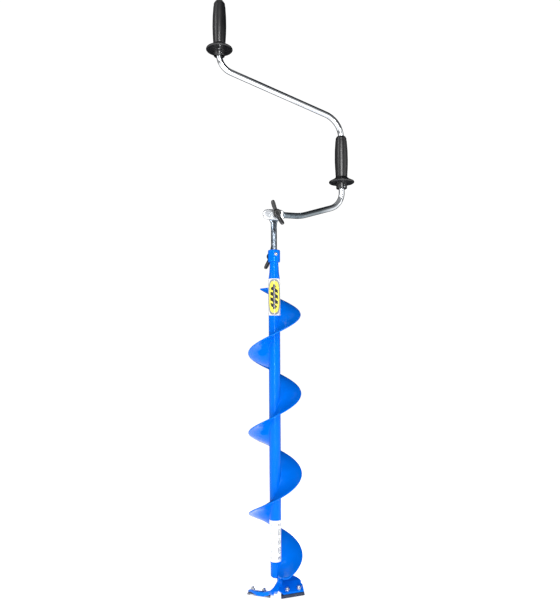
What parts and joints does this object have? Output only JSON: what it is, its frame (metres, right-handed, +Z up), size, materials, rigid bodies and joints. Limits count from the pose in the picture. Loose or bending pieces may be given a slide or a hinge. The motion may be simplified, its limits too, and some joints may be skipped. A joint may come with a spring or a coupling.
{
  "type": "ice fishing auger",
  "caption": "Hand ice auger: spiral on a tube, a cutting head with bolted knives, and a folding crank with turning grips on a telescopic shaft.",
  "frame": {"origin": "on the drilling axis at the level of the knives' inner tips, the lowest point of the auger", "axes": "+Z up along the drilling axis, +X towards the lower grip in the crank's plane, -Y towards the side of the crank's wing knob"},
  "size_m": [0.3564, 0.1204, 1.3467],
  "materials": {
    "blue_enamel": "gloss powder enamel",
    "label_film": "gloss film",
    "knife_steel": "ground and oiled",
    "zinc_plate": "bright zinc",
    "crank_chrome": "polished",
    "black_plastic": "satin moulded",
    "grey_plastic": "satin moulded"
  },
  "bodies": {
    "auger": {"auger_tube": "blue_enamel", "top_collar": "blue_enamel", "spiral_flight": "blue_enamel", "knife_carrier_1": "blue_enamel", "knife_carrier_2": "blue_enamel", "upper_label": "label_film", "lower_label": "label_film", "knife_1": "knife_steel", "knife_2": "knife_steel", "knife_screw_1": "zinc_plate", "knife_screw_2": "zinc_plate", "knife_screw_3": "zinc_plate", "knife_screw_4": "zinc_plate", "knife_nut_1": "zinc_plate", "knife_nut_2": "zinc_plate", "knife_nut_3": "zinc_plate", "knife_nut_4": "zinc_plate", "clamp_bolt": "zinc_plate", "clamp_washer": "zinc_plate"},
    "clamp_knob": {"clamp_wing_nut": "black_plastic"},
    "shaft": {"telescopic_shaft": "zinc_plate", "shaft_guide_bush": "grey_plastic", "pivot_bolt": "zinc_plate", "pivot_washer": "zinc_plate"},
    "pivot_knob": {"pivot_wing_knob": "black_plastic"},
    "crank": {"crank_rod": "crank_chrome", "rod_end_retainer": "zinc_plate"},
    "lower_grip_body": {"lower_grip": "black_plastic"},
    "upper_grip_body": {"upper_grip": "black_plastic", "upper_grip_cap": "grey_plastic"}
  },
  "joints": [
    {"name": "shaft_slide", "type": "slide", "parent": "auger", "child": "shaft", "axis": [0, 0, 1], "range_m": [0, 0.15]},
    {"name": "crank_fold", "type": "hinge", "parent": "shaft", "child": "crank", "pos_m": [0, -0.0073, 0.86], "axis": [0, -1, 0], "range_deg": [0, 140]},
    {"name": "pivot_knob_turn", "type": "hinge", "parent": "shaft", "child": "pivot_knob", "pos_m": [0, -0.02, 0.86], "axis": [0, -1, 0], "range_deg": [0, 540]},
    {"name": "clamp_knob_turn", "type": "hinge", "parent": "auger", "child": "clamp_knob", "pos_m": [0, 0.025, 0.7675], "axis": [0, 1, 0], "range_deg": [0, 540]},
    {"name": "lower_grip_spin", "type": "hinge", "parent": "crank", "child": "lower_grip_body", "pos_m": [0.167, -0.0073, 0.99], "axis": [0, 0, 1], "continuous": true},
    {"name": "upper_grip_spin", "type": "hinge", "parent": "crank", "child": "upper_grip_body", "pos_m": [-0.129, -0.0073, 1.275], "axis": [0, 0, 1], "continuous": true}
  ]
}
